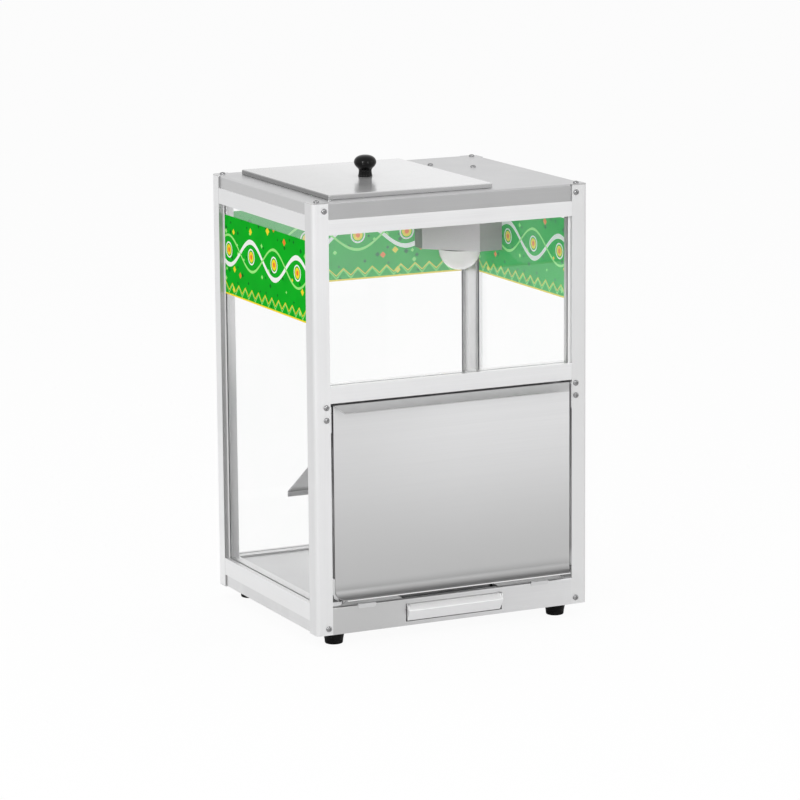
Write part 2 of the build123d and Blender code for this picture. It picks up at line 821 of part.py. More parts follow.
def screws():
    port_x = half_w - port_in
    port_y = half_d - port_in
    save("roof_screws", Compound(children=four(screw((port_x, port_y, body_h), (0, 0, 1), port_screw_l))))
    save("pan_screws", Compound(children=four(screw((port_x, port_y, 0), (0, 0, -1), port_screw_l))))
    x = half_w - screw_in
    for name, levels, shank in (("post_screws", post_screws, pane_set - gap), ("catch_screws", catch_screws, pane_set + tap_l)):
        pieces = []
        for z in levels:
            pieces += both(screw((x, -half_d, z), (0, -1, 0), shank))
        save(name, Compound(children=pieces))
    lamps = [screw((x, y, body_h), (0, 0, 1), port_screw_l / 2) for x, y in lamp_screws]
    save("lamp_screws", Compound(children=lamps))


def switch():
    """Rocker switch: bezel with a snap-in body, and a rocker on its pivot."""
    y0 = half_d
    x, z = switch_x, switch_z
    w = switch_w / 2
    h = switch_hh / 2
    bezel = block(x - w - switch_rim, x + w + switch_rim, y0, y0 + switch_plate, z - h - 1, z + h + 1)
    bezel = fillet(bezel.edges().filter_by(Axis.Y), switch_rim)
    bezel = chamfer(bezel.faces().sort_by(Axis.Y)[-1].edges(), switch_plate / 3)
    snap_w = w - 0.2
    snap_h = h - switch_rim - 0.2
    bezel += block(x - snap_w, x + snap_w, y0 - switch_deep, y0, z - snap_h, z + snap_h)
    room_w = w - switch_rim
    room_h = rocker_h / 2 + rocker_room
    bezel -= block(x - room_w, x + room_w, y0 - 2 * rocker_pivot, y0 + switch_plate + through, z - room_h, z + room_h)
    save("switch_bezel", bezel)
    a = rocker_l / 2
    dip = rocker_edge - a * math.tan(math.radians(rocker_tilt))
    outline = face_of([(-a, -rocker_t), (a, -rocker_t), (a, rocker_edge), (0, dip), (-a, rocker_edge)])
    outline += Pos(0, -rocker_pivot) * Circle(rocker_hub_r)
    rocker = along_z(Pos(0, rocker_pivot) * outline, z - rocker_h / 2, z + rocker_h / 2)
    save("switch_rocker", Pos(x, y0 - rocker_pivot, 0) * Rot(0, 0, rocker_tilt) * rocker)


def gland():
    y0 = half_d
    x, z = gland_x, gland_z
    stem_r = gland_r - 2.5
    body = extrude(Plane(origin=(x, y0, z), z_dir=(0, 1, 0)) * RegularPolygon(gland_r, 6), gland_nut)
    cap = rod((x, y0 + gland_nut, z), (x, y0 + gland_out, z), gland_r - 1.2)
    body += fillet(cap.faces().sort_by(Axis.Y)[-1].edges(), 2.5)
    body += rod((x, y0 - gland_stem, z), (x, y0 + through, z), stem_r)
    body -= rod((x, y0 - gland_stem - through, z), (x, y0 + gland_out + through, z), gland_bore_r)
    save("cord_gland", body)


def main():
    save_pair("post_front", post(True))
    save_pair("post_rear", post(False))
    rails()
    roof_panel()
    bottom_pan()
    panes()
    base_panel()
    floor_panel()
    baffle()
    door()
    save_pair("hinge_lug", hinge_lug())
    save_pair("catch_bracket", catch_bracket())
    save_pair("catch_magnet", magnet())
    crumb_tray()
    tray_runners()
    lid()
    lamp_housing()
    lamp_fittings()
    lamp_dome()
    feet()
    screws()
    switch()
    gland()


main()
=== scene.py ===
import bpy, json, math
from mathutils import Matrix, Vector

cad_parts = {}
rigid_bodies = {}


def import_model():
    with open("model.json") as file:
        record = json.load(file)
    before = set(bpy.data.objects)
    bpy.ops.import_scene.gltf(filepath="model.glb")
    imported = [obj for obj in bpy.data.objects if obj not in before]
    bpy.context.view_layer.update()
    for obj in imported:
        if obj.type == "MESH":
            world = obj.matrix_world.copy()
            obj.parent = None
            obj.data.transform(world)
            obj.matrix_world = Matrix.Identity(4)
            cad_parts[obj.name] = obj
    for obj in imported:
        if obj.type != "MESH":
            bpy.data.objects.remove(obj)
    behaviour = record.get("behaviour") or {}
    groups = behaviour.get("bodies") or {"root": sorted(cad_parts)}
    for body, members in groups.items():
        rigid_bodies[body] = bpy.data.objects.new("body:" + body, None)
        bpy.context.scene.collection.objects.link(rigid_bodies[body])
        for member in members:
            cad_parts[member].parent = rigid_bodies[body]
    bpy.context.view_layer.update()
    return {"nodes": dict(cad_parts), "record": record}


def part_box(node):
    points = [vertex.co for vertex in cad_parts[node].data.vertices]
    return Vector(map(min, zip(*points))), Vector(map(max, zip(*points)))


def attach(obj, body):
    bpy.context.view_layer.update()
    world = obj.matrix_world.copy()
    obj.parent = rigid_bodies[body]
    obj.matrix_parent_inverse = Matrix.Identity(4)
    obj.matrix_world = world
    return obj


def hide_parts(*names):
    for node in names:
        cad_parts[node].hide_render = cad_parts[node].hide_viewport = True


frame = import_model()
cad = frame["nodes"]
scene = bpy.context.scene

# camera: place in metres, lens and sensor in millimetres, turns in radians
cameraLook = {"place": (-2.14207, -4.46595, 1.27267), "lens": 167.88, "sensor": 36, "far": 60,
              "yaw": 0.4472982, "pitch": 0.1965655, "roll": -0.0080319}
yaw, pitch, roll = (cameraLook[turn] for turn in ("yaw", "pitch", "roll"))
forward = Vector((math.sin(yaw) * math.cos(pitch), math.cos(yaw) * math.cos(pitch), -math.sin(pitch)))
level = Vector((math.cos(yaw), -math.sin(yaw), 0))
upward = level.cross(forward)
cameraX = math.cos(roll) * level + math.sin(roll) * upward
cameraY = math.cos(roll) * upward - math.sin(roll) * level
cameraTurn = Matrix((cameraX, cameraY, -forward)).transposed().to_4x4()
cameraData = bpy.data.cameras.new("camera")
cameraData.lens = cameraLook["lens"]
cameraData.sensor_width = cameraLook["sensor"]
cameraData.clip_end = cameraLook["far"]
camera = bpy.data.objects.new("camera", cameraData)
scene.collection.objects.link(camera)
camera.matrix_world = Matrix.Translation(cameraLook["place"]) @ cameraTurn
scene.camera = camera
scene.view_settings.view_transform = "Standard"
scene.cycles.use_denoising = True
print("camera placed")


# small helpers for edit mode

mergeGap = 0.000002  # corners of a fixed mesh nearer than this are one, in metres


def leaveEdit():
    bpy.ops.object.mode_set(mode="OBJECT")


def deselectAll():
    if bpy.context.object and bpy.context.object.mode != "OBJECT":
        leaveEdit()
    bpy.ops.object.select_all(action="DESELECT")


def workOn(obj):
    deselectAll()
    obj.select_set(True)
    bpy.context.view_layer.objects.active = obj


def editAll(obj):
    workOn(obj)
    bpy.ops.object.mode_set(mode="EDIT")
    bpy.ops.mesh.select_all(action="SELECT")


def selectFaces(obj, test):  # select the faces whose centre and normal pass the test
    leaveEdit()
    for part in (obj.data.vertices, obj.data.edges, obj.data.polygons):
        for item in part:
            item.select = False
    for face in obj.data.polygons:
        if test(face.center, face.normal):
            face.select = True
    bpy.ops.object.mode_set(mode="EDIT")
    bpy.ops.mesh.select_mode(type="FACE")


def faceOutward():  # turn all faces of the piece in edit mode outwards and leave it
    bpy.ops.mesh.select_all(action="SELECT")
    bpy.ops.mesh.normals_make_consistent(inside=False)
    leaveEdit()


def mergeCorners(obj):  # a fixed mesh is loose triangles; the piece stays in edit mode
    editAll(obj)
    bpy.ops.mesh.remove_doubles(threshold=mergeGap)


def copyOf(obj, name):  # new object with its own copy of the mesh
    twin = bpy.data.objects.new(name, obj.data.copy())
    scene.collection.objects.link(twin)
    return twin


def joinAll(parts):  # one object out of several, under the first one's name
    workOn(parts[0])
    for part in parts[1:]:
        part.select_set(True)
    if len(parts) > 1:
        bpy.ops.object.join()
    return parts[0]


def keepShape(obj):  # apply every modifier
    workOn(obj)
    for modifier in list(obj.modifiers):
        bpy.ops.object.modifier_apply(modifier=modifier.name)


def softenEdges(obj, width, angle=0.6):
    bevel = obj.modifiers.new("edge", "BEVEL")
    bevel.width = width
    bevel.segments = 2
    bevel.limit_method = "ANGLE"
    bevel.angle_limit = angle
    keepShape(obj)


def smoothBy(obj, degrees):
    workOn(obj)
    bpy.ops.object.shade_smooth_by_angle(angle=math.radians(degrees))


def evenShading(obj, degrees):  # smooth bends, flat sheet stays flat
    smoothBy(obj, degrees)
    weights = obj.modifiers.new("shading", "WEIGHTED_NORMAL")
    weights.weight = 60
    weights.keep_sharp = True
    keepShape(obj)


def roundOff(obj, levels):
    surface = obj.modifiers.new("round", "SUBSURF")
    surface.levels = surface.render_levels = levels
    keepShape(obj)


def settle(obj):  # place and size go into the mesh, the object stays at the origin
    workOn(obj)
    bpy.ops.object.transform_apply(location=True, rotation=True, scale=True)


def moveTo(obj, place, way=(0, 0, 1), spin=0.0):  # stand the piece on place, its axis along way
    turn = Vector((0, 0, 1)).rotation_difference(Vector(way)).to_matrix().to_4x4()
    obj.matrix_world = Matrix.Translation(place) @ turn @ Matrix.Rotation(spin, 4, "Z")
    settle(obj)


def under(node, height):  # point on a node's vertical axis
    low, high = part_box(node)
    return Vector(((low.x + high.x) / 2, (low.y + high.y) / 2, height))


# small helpers for node trees

def feed(tree, node, feeds):  # each input takes a value or another node's output
    for key, value in feeds.items():
        if isinstance(value, bpy.types.NodeSocket):
            tree.links.new(value, node.inputs[key])
        else:
            node.inputs[key].default_value = value
    return node


def wire(tree, kind, settings, feeds):  # new shader node with its settings and feeds
    node = tree.nodes.new("ShaderNode" + kind)
    for key, value in settings.items():
        setattr(node, key, value)
    return feed(tree, node, feeds)


def calc(tree, operation, a, b=0.0, c=0.0):
    return wire(tree, "Math", {"operation": operation}, {0: a, 1: b, 2: c}).outputs[0]


def vectorCalc(tree, operation, a, b, result="Vector"):
    return wire(tree, "VectorMath", {"operation": operation}, {0: a, 1: b}).outputs[result]


def noise(tree, where, scale, detail, swirl=0.0):
    feeds = {"Vector": where, "Scale": scale, "Detail": detail, "Distortion": swirl}
    return wire(tree, "TexNoise", {}, feeds).outputs[0]


def ramp(tree, value, start, end, kind="LINEAR"):  # 0 at start, 1 at end
    return wire(tree, "MapRange", {"interpolation_type": kind}, {0: value, 1: start, 2: end}).outputs[0]


def blend(tree, mask, first, second):  # colour between two, by a mask
    feeds = {"Factor": mask}
    for key, colour in ((6, first), (7, second)):
        feeds[key] = (*colour, 1) if isinstance(colour, tuple) else colour
    return wire(tree, "Mix", {"data_type": "RGBA"}, feeds).outputs[2]


# stage: sizes and places in metres, power in watts
stageLook = {"floorSize": 24, "floorPlace": (0, 4, 0), "floorTint": (0.86, 0.86, 0.86, 1), "floorWhite": 0.94,
             "floorMirror": 0.55, "worldGrey": (0.62, 0.62, 0.62, 1), "white": (1, 1, 1, 1),
             "aim": (0, 0, 0.3)}
softBoxes = {
    "leftBox": {"place": (-2.2, -1.9, 1.9), "size": (1.4, 1.4), "power": 16},
    "rightBox": {"place": (2.3, -2.0, 1.3), "size": (1.2, 1.6), "power": 4},
    "topBox": {"place": (0.1, 0.4, 2.7), "size": (2.6, 2.6), "power": 23, "inMirrors": False},
    "leftSpark": {"place": (-1.95, -1.5, 1.35), "size": (0.36, 0.2), "power": 8.0},
    "rightSpark": {"place": (0.15, -2.45, 1.35), "size": (0.36, 0.2), "power": 8.0},
}


def seenDirectly(tree):  # 1 for camera, mirror and see-through rays
    path = tree.nodes.new("ShaderNodeLightPath").outputs
    most = calc(tree, "MAXIMUM", path["Is Camera Ray"], path["Is Glossy Ray"])
    return calc(tree, "MAXIMUM", most, path["Is Transmission Ray"])


def whiteRoom():
    world = bpy.data.worlds.new("studio")
    scene.world = world
    world.use_nodes = True
    tree = world.node_tree
    tree.nodes.clear()
    ambient = wire(tree, "Background", {}, {"Color": stageLook["worldGrey"]}).outputs[0]
    backdrop = wire(tree, "Background", {}, {"Color": stageLook["white"]}).outputs[0]
    mix = wire(tree, "MixShader", {}, {0: seenDirectly(tree), 1: ambient, 2: backdrop})
    wire(tree, "OutputWorld", {}, {"Surface": mix.outputs[0]})


def paperFloor():
    bpy.ops.mesh.primitive_plane_add(size=stageLook["floorSize"], location=stageLook["floorPlace"])
    floor = bpy.context.object
    floor.name = "studioFloor"
    paper = bpy.data.materials.new("studioPaper")
    paper.use_nodes = True
    tree = paper.node_tree
    tree.nodes.clear()
    matt = wire(tree, "BsdfDiffuse", {}, {"Color": stageLook["floorTint"]}).outputs[0]
    bright = wire(tree, "Emission", {}, {"Color": stageLook["white"], "Strength": 1.0}).outputs[0]
    share = calc(tree, "MULTIPLY", seenDirectly(tree), stageLook["floorWhite"])
    # a ray through glass counts as glossy too, so only true mirror rays see the floor less white
    path = tree.nodes.new("ShaderNodeLightPath").outputs
    mirrored = calc(tree, "SUBTRACT", path["Is Glossy Ray"], path["Is Transmission Ray"])
    mirrored = calc(tree, "MAXIMUM", mirrored, 0.0)
    kept = calc(tree, "MULTIPLY_ADD", mirrored, stageLook["floorMirror"] - 1, 1.0)
    share = calc(tree, "MULTIPLY", share, kept)
    mix = wire(tree, "MixShader", {}, {0: share, 1: matt, 2: bright})
    wire(tree, "OutputMaterial", {}, {"Surface": mix.outputs[0]})
    floor.data.materials.append(paper)


def softBox(name, look):  # area light turned to the object
    data = bpy.data.lights.new(name, "AREA")
    data.shape = "RECTANGLE"
    data.size, data.size_y = look["size"]
    data.energy = look["power"]
    light = bpy.data.objects.new(name, data)
    scene.collection.objects.link(light)
    aim = Vector(stageLook["aim"]) - Vector(look["place"])
    light.matrix_world = Matrix.Translation(look["place"]) @ aim.to_track_quat("-Z", "Y").to_matrix().to_4x4()
    light.visible_glossy = look.get("inMirrors", True)


whiteRoom()
paperFloor()
for name, look in softBoxes.items():
    softBox(name, look)
print("stage lit")


# shared surface effects

grainLook = {"fine": 1.6, "fineDetail": 2.0, "fineShare": 0.6, "drift": 0.18, "driftDetail": 3.0,
             "driftShare": 0.4, "low": 0.3, "high": 0.7}
rubLook = {"samples": 4, "flat": 0.99, "turned": 0.80}
wipeLook = {"detail": 4.0, "swirl": 1.1, "low": 0.38, "high": 0.66}
mouldLook = {"cloud": 60.0, "cloudDetail": 3.0, "cloudShare": 0.5}


def newGroup(name, inputs, outputs):
    group = bpy.data.node_groups.new(name, "ShaderNodeTree")
    for label, kind, start in inputs:
        socket = group.interface.new_socket(name=label, in_out="INPUT", socket_type="NodeSocket" + kind)
        socket.default_value = start
    for label, kind in outputs:
        group.interface.new_socket(name=label, in_out="OUTPUT", socket_type="NodeSocket" + kind)
    return group, group.nodes.new("NodeGroupInput").outputs, group.nodes.new("NodeGroupOutput").inputs


def grainGroup():  # rolled or drawn grain: fine lines with a slower drift under them
    inputs = [("Vector", "Vector", (0, 0, 0)), ("Stretch", "Vector", (6, 900, 900))]
    group, given, result = newGroup("drawnGrain", inputs, [("Shade", "Float"), ("Height", "Float")])
    long = vectorCalc(group, "MULTIPLY", given["Vector"], given["Stretch"])
    fine = noise(group, long, grainLook["fine"], grainLook["fineDetail"])
    wide = noise(group, long, grainLook["drift"], grainLook["driftDetail"])
    both = calc(group, "ADD", calc(group, "MULTIPLY", fine, grainLook["fineShare"]),
                calc(group, "MULTIPLY", wide, grainLook["driftShare"]))
    group.links.new(ramp(group, both, grainLook["low"], grainLook["high"]), result["Shade"])
    group.links.new(both, result["Height"])
    return group


def rubGroup():  # bare bright edges, where the rounded normal leaves the flat one
    group, given, result = newGroup("rubbedEdge", [("Radius", "Float", 0.001)], [("Mask", "Float")])
    soft = wire(group, "Bevel", {"samples": rubLook["samples"]}, {"Radius": given["Radius"]}).outputs[0]
    flat = group.nodes.new("ShaderNodeNewGeometry").outputs["Normal"]
    turn = vectorCalc(group, "DOT_PRODUCT", soft, flat, "Value")
    group.links.new(ramp(group, turn, rubLook["flat"], rubLook["turned"]), result["Mask"])
    return group


def wipeGroup():  # cloudy traces of wiping
    inputs = [("Vector", "Vector", (0, 0, 0)), ("Scale", "Float", 9.0)]
    group, given, result = newGroup("wipedHaze", inputs, [("Mask", "Float")])
    cloud = noise(group, given["Vector"], given["Scale"], wipeLook["detail"], wipeLook["swirl"])
    group.links.new(ramp(group, cloud, wipeLook["low"], wipeLook["high"], "SMOOTHSTEP"), result["Mask"])
    return group


def mouldGroup():  # fine skin of a moulded part
    inputs = [("Vector", "Vector", (0, 0, 0)), ("Scale", "Float", 900.0)]
    group, given, result = newGroup("mouldedSkin", inputs, [("Shade", "Float"), ("Height", "Float")])
    cells = wire(group, "TexVoronoi", {}, {"Vector": given["Vector"], "Scale": given["Scale"]})
    slow = noise(group, given["Vector"], mouldLook["cloud"], mouldLook["cloudDetail"])
    group.links.new(slow, result["Shade"])
    height = calc(group, "MULTIPLY_ADD", slow, mouldLook["cloudShare"], cells.outputs["Distance"])
    group.links.new(height, result["Height"])
    return group


def bandGroup():  # soft step along one direction, 0 at Start and 1 at End
    inputs = [("Vector", "Vector", (0, 0, 0)), ("Along", "Vector", (0, 0, 1)), ("Start", "Float", 0.0),
              ("End", "Float", 1.0)]
    group, given, result = newGroup("softBand", inputs, [("Mask", "Float")])
    reach = vectorCalc(group, "DOT_PRODUCT", given["Vector"], given["Along"], "Value")
    group.links.new(ramp(group, reach, given["Start"], given["End"], "SMOOTHSTEP"), result["Mask"])
    return group


groups = {"grain": grainGroup(), "rub": rubGroup(), "wipe": wipeGroup(), "mould": mouldGroup(),
          "band": bandGroup()}


def useGroup(tree, name, feeds):
    node = tree.nodes.new("ShaderNodeGroup")
    node.node_tree = groups[name]
    return feed(tree, node, feeds).outputs


# materials: each reads the place on the object in metres

def newMaterial(name):
    material = bpy.data.materials.new(name)
    material.use_nodes = True
    tree = material.node_tree
    where = tree.nodes.new("ShaderNodeTexCoord").outputs["Object"]
    return material, tree, tree.nodes["Principled BSDF"].inputs, where


def bandMask(tree, where, strip):  # share of a band that reaches a point
    mask = strip["share"]
    for axis, start, end in strip["steps"]:
        step = useGroup(tree, "band", {"Vector": where, "Along": axis, "Start": start, "End": end})["Mask"]
        mask = calc(tree, "MULTIPLY", step, mask)
    return mask


def fineBump(tree, skin, strength, deep, height):
    bump = wire(tree, "Bump", {}, {"Strength": strength, "Distance": deep, "Height": height})
    tree.links.new(bump.outputs[0], skin["Normal"])


def metal(name, look):  # satin or brushed metal with grain, wiped haze, bare edges and bands
    material, tree, skin, where = newMaterial(name)
    grain = useGroup(tree, "grain", {"Vector": where, "Stretch": look["stretch"]})
    haze = useGroup(tree, "wipe", {"Vector": where, "Scale": look["hazeScale"]})["Mask"]
    rub = useGroup(tree, "rub", {"Radius": look["rubRadius"]})["Mask"]
    tone = blend(tree, grain["Shade"], look["dark"], look["tint"])
    tone = blend(tree, calc(tree, "MULTIPLY", haze, look["haze"]), tone, look["hazeTint"])
    tone = blend(tree, calc(tree, "MULTIPLY", rub, look["rub"]), tone, look["rubTint"])
    for strip in look.get("bands", ()):
        tone = blend(tree, bandMask(tree, where, strip), tone, (strip["grey"],) * 3)
    tree.links.new(tone, skin["Base Color"])
    spread = calc(tree, "MULTIPLY_ADD", haze, look["spread"], look["roughness"])
    rough = calc(tree, "MULTIPLY_ADD", grain["Shade"], look["spread"], spread)
    for strip in look.get("polish", ()):
        rough = calc(tree, "MULTIPLY", rough, calc(tree, "SUBTRACT", 1.0, bandMask(tree, where, strip)))
    tree.links.new(rough, skin["Roughness"])
    skin["Metallic"].default_value = look["metallic"]
    fineBump(tree, skin, look["bump"], look["bumpDeep"], grain["Height"])
    return material


# what all mouldings share, and what both glasses share
plasticLook = {"hazeScale": 40.0, "coatRoughness": 0.06, "glowTint": (1.0, 0.97, 0.92, 1),
               "bumpDeep": 0.00008}
glassLook = {"hazeScale": 7.0, "glowTint": (1.0, 0.99, 0.97, 1)}


def moulded(name, look):  # plastic, rubber or enamel with a fine skin
    material, tree, skin, where = newMaterial(name)
    fine = useGroup(tree, "mould", {"Vector": where, "Scale": look["scale"]})
    haze = useGroup(tree, "wipe", {"Vector": where, "Scale": plasticLook["hazeScale"]})["Mask"]
    tree.links.new(blend(tree, fine["Shade"], look["dark"], look["tint"]), skin["Base Color"])
    tree.links.new(calc(tree, "MULTIPLY_ADD", haze, look["spread"], look["roughness"]), skin["Roughness"])
    skin["Coat Weight"].default_value = look.get("coat", 0.0)
    skin["Coat Roughness"].default_value = plasticLook["coatRoughness"]
    skin["Emission Color"].default_value = plasticLook["glowTint"]
    skin["Emission Strength"].default_value = look.get("glow", 0.0)
    skin["Specular IOR Level"].default_value = look.get("shine", 0.5)
    fineBump(tree, skin, look["bump"], plasticLook["bumpDeep"], fine["Height"])
    return material


def glass(name, look):  # clear glass, its colour broken only by a faint wiped haze
    material, tree, skin, where = newMaterial(name)
    haze = useGroup(tree, "wipe", {"Vector": where, "Scale": glassLook["hazeScale"]})["Mask"]
    tree.links.new(blend(tree, haze, look["tint"], look["hazeTint"]), skin["Base Color"])
    skin["Roughness"].default_value = look["roughness"]
    skin["IOR"].default_value = look["ior"]
    skin["Transmission Weight"].default_value = look["through"]
    skin["Emission Color"].default_value = glassLook["glowTint"]
    skin["Emission Strength"].default_value = look.get("glow", 0.0)
    return material


# places that finishes and pieces are measured from
axisX, axisY, axisZ = (1, 0, 0), (0, 1, 0), (0, 0, 1)
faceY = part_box("post_front_left")[0].y
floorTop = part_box("floor_panel")[1].z
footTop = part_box("foot_front_left")[1].z
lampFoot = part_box("lamp_housing")[0].z

# tray pull: two small plates close the ends of its fold; lengths in metres, the slot's from the foot's top
pullLook = {"slotLow": 0.0055, "slotHigh": 0.0291, "foldAt": 0.016, "low": 0.0008, "wide": 0.1405,
            "flare": 0.0012, "sheet": 0.0010, "inside": 0.0006, "edge": 0.0002}
pullFold = footTop + pullLook["slotLow"] + pullLook["foldAt"]


# a band turns the finish to its grey by its share; each step is (axis, place of 0, place of full strength)
def band(share, grey, *steps):
    return {"share": share, "grey": grey, "steps": steps}


def doorBands():
    low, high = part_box("door_panel")
    return [band(1.0, 0.52, (axisZ, high.z - 0.02, low.z + 0.02)),  # painted shade: greyer towards the foot
            band(0.3, 0.50, (axisX, 0.03, low.x)),  # painted shade: also greyer towards the left
            band(0.46, 0.10, (axisZ, low.z + 0.030, low.z + 0.008)),  # shade over the lower fold
            band(1.0, 0.85, (axisY, low.y + 0.0012, low.y + 0.0007),
                 (axisZ, low.z + 0.02, low.z + 0.01)),  # painted highlight on the edge of the flange
            band(0.9, 0.53, (axisY, faceY - 0.0005, faceY - 0.0025),
                 (axisZ, high.z - 0.04, high.z - 0.03))]  # painted shade on the grip lip


def floorBands():  # shade behind the door on the top face, and deeper on the chute below it
    return [band(0.8, 0.16, (axisY, faceY, faceY + 0.0015), (axisY, faceY + 0.045, faceY + 0.025),
                 (axisZ, floorTop - 0.0012, floorTop - 0.0004)),
            band(0.85, 0.05, (axisY, faceY + 0.002, faceY + 0.004), (axisY, faceY + 0.045, faceY + 0.035),
                 (axisZ, floorTop - 0.0012, floorTop - 0.0022))]


def lugBands():
    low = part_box("hinge_lug_left")[0]
    return [band(0.85, 0.10, (axisX, 0.14, 0.15)),  # painted shade over the right lug
            band(0.92, 0.05, (axisZ, low.z + 0.0045, low.z + 0.0060),
                 (axisX, -0.14, -0.15))]  # painted shade over the upper part of the left one


def lidBands():
    low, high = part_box("lid_panel")
    return [band(1.0, 0.55, (axisX, 0.02, low.x)),  # painted shade: greyer towards the left
            band(0.7, 0.42, (axisZ, high.z - 0.0004, high.z - 0.0012)),  # painted shade on the cut edges
            band(0.6, 0.16, (axisX, low.x + 0.0012, low.x + 0.0004))]  # painted shade: the left one darker still


def roofBands():  # painted shade on the front skirt, painted light on the left one
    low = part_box("roof_panel")[0]
    return [band(0.7, 0.38, (axisY, low.y + 0.004, low.y + 0.001)),
            band(0.8, 0.70, (axisX, low.x + 0.004, low.x + 0.001))]


def rearBands():  # painted light on the front faces of the rear posts, and painted shade on the outer edge of the left one
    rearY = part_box("post_rear_left")[0].y
    front = (axisY, rearY + 0.0009, rearY + 0.0003)
    return [band(0.8, 0.99, front, (axisX, -0.1935, -0.1885)),
            band(0.5, 0.12, front, (axisX, -0.1925, -0.1940))]


def midRailBand():  # top face of the middle rail: as a colour band it is painted light, as a polish band it only lowers the roughness
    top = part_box("mid_rail_front")[1].z
    return band(0.92, 0.98, (axisZ, top - 0.0009, top - 0.0003))


def coolGrey(value):  # bare metal is a trace bluer than grey
    return value, value, value + 0.005


def tones(tint, dark, haze):
    return {"tint": coolGrey(tint), "dark": coolGrey(dark), "hazeTint": coolGrey(haze)}


alongX, alongY, alongZ = (6, 900, 900), (900, 6, 900), (900, 900, 6)
satin = {**tones(0.80, 0.75, 0.77), "stretch": alongZ, "roughness": 0.36, "spread": 0.05, "metallic": 0.75,
         "bump": 0.15, "bumpDeep": 0.00005, "haze": 0.25, "hazeScale": 11.0, "rub": 0.5,
         "rubTint": (0.92, 0.92, 0.92), "rubRadius": 0.0009}
steel = {**satin, **tones(0.66, 0.58, 0.62), "stretch": alongX, "roughness": 0.30, "metallic": 0.9,
         "bump": 0.2}
metals = {
    # painted shade: the right posts greyer
    "postAluminium": {**satin, "bands": [band(0.75, 0.70, (axisX, 0.10, 0.16))]},
    # painted light: the rear posts take a lighter copy of the satin aluminium
    "rearAluminium": {**satin, **tones(0.93, 0.88, 0.77), "bands": rearBands()},
    "railAluminiumX": {**satin, "stretch": alongX},
    "midAluminium": {**satin, "stretch": alongX, "bands": [midRailBand()], "polish": [midRailBand()]},
    # painted light: the side rails take a lighter copy of the satin aluminium
    "railAluminiumY": {**satin, **tones(0.89, 0.85, 0.87), "stretch": alongY},
    "roofSteel": {**steel, **tones(0.56, 0.51, 0.54), "bands": roofBands()},
    "lidSteel": {**steel, **tones(0.72, 0.69, 0.71), "roughness": 0.16, "spread": 0.03, "metallic": 0.6,
                 "bands": lidBands()},
    "doorSteel": {**steel, **tones(0.78, 0.74, 0.75), "roughness": 0.28, "bands": doorBands()},
    # painted shade: the base panel greyer towards the left
    "baseSteel": {**steel, **tones(0.74, 0.69, 0.62), "bands": [band(1.0, 0.55, (axisX, 0.18, -0.16))]},
    "floorSteel": {**steel, **tones(0.66, 0.62, 0.62), "bands": floorBands()},
    "panSteel": {**steel, **tones(0.80, 0.76, 0.62), "metallic": 0.7},
    "insideSteel": {**steel, **tones(0.66, 0.60, 0.62)},
    # painted light: the housing paler towards its foot
    "lampBoxSteel": {**steel, "tint": (0.90, 0.86, 0.89), "dark": (0.84, 0.80, 0.83),
                     "hazeTint": (0.86, 0.82, 0.85), "metallic": 0.5,
                     "bands": [band(0.4, 1.0, (axisZ, lampFoot + 0.030, lampFoot))]},
    # painted light: the upper facet of the pull paler than the rest of the tray
    "traySteel": {**steel, **tones(0.86, 0.83, 0.84), "roughness": 0.4, "metallic": 0.12,
                  "bands": [band(1.0, 0.99, (axisZ, pullFold - 0.0008, pullFold + 0.0004))]},
    "lugSteel": {**steel, **tones(0.78, 0.58, 0.62), "stretch": alongZ, "roughness": 0.34,
                 "bands": lugBands()},
    "bracketSteel": {**steel, "stretch": alongZ, "roughness": 0.34},
    "screwSteel": {**steel, "tint": coolGrey(0.34), "dark": coolGrey(0.26), "hazeTint": (0.3, 0.3, 0.3),
                   "stretch": (300, 300, 300), "roughness": 0.2, "metallic": 1.0, "rub": 0.3},
}
glasses = {
    "clearGlass": {"tint": (1, 1, 1), "hazeTint": (0.992, 0.997, 0.994), "roughness": 0.0, "ior": 1.2,
                   "through": 1.0},
    # painted light: the dome glass glows faintly
    "domeGlass": {"tint": (1, 1, 1), "hazeTint": (0.97, 0.97, 0.97), "roughness": 0.08, "ior": 1.45,
                  "through": 0.55, "glow": 0.11},
}
mouldings = {
    "bulbGlass": {"tint": (0.86, 0.85, 0.80), "dark": (0.82, 0.81, 0.76), "scale": 300.0, "roughness": 0.22,
                  "spread": 0.05, "coat": 0.5, "bump": 0.0, "glow": 0.5},
    "paleSeal": {"tint": (0.90, 0.90, 0.90), "dark": (0.84, 0.84, 0.84), "scale": 700.0, "roughness": 0.5,
                 "spread": 0.1, "bump": 0.2},
    "blackPlastic": {"tint": (0.022, 0.022, 0.023), "dark": (0.014, 0.014, 0.015), "scale": 900.0,
                     "roughness": 0.38, "spread": 0.1, "bump": 0.4},
    "blackGloss": {"tint": (0.004, 0.004, 0.004), "dark": (0.002, 0.002, 0.002), "scale": 500.0,
                   "roughness": 0.05, "spread": 0.02, "shine": 0.18, "bump": 0.0},
    "blackRubber": {"tint": (0.006, 0.006, 0.006), "dark": (0.003, 0.003, 0.003), "scale": 1100.0,
                    "roughness": 0.55, "spread": 0.15, "shine": 0.10, "bump": 0.6},
    "whiteEnamel": {"tint": (0.80, 0.80, 0.78), "dark": (0.76, 0.76, 0.74), "scale": 400.0, "roughness": 0.25,
                    "spread": 0.08, "coat": 0.3, "bump": 0.1},
}
finishes = {name: metal(name, look) for name, look in metals.items()}
finishes.update({name: glass(name, look) for name, look in glasses.items()})
finishes.update({name: moulded(name, look) for name, look in mouldings.items()})


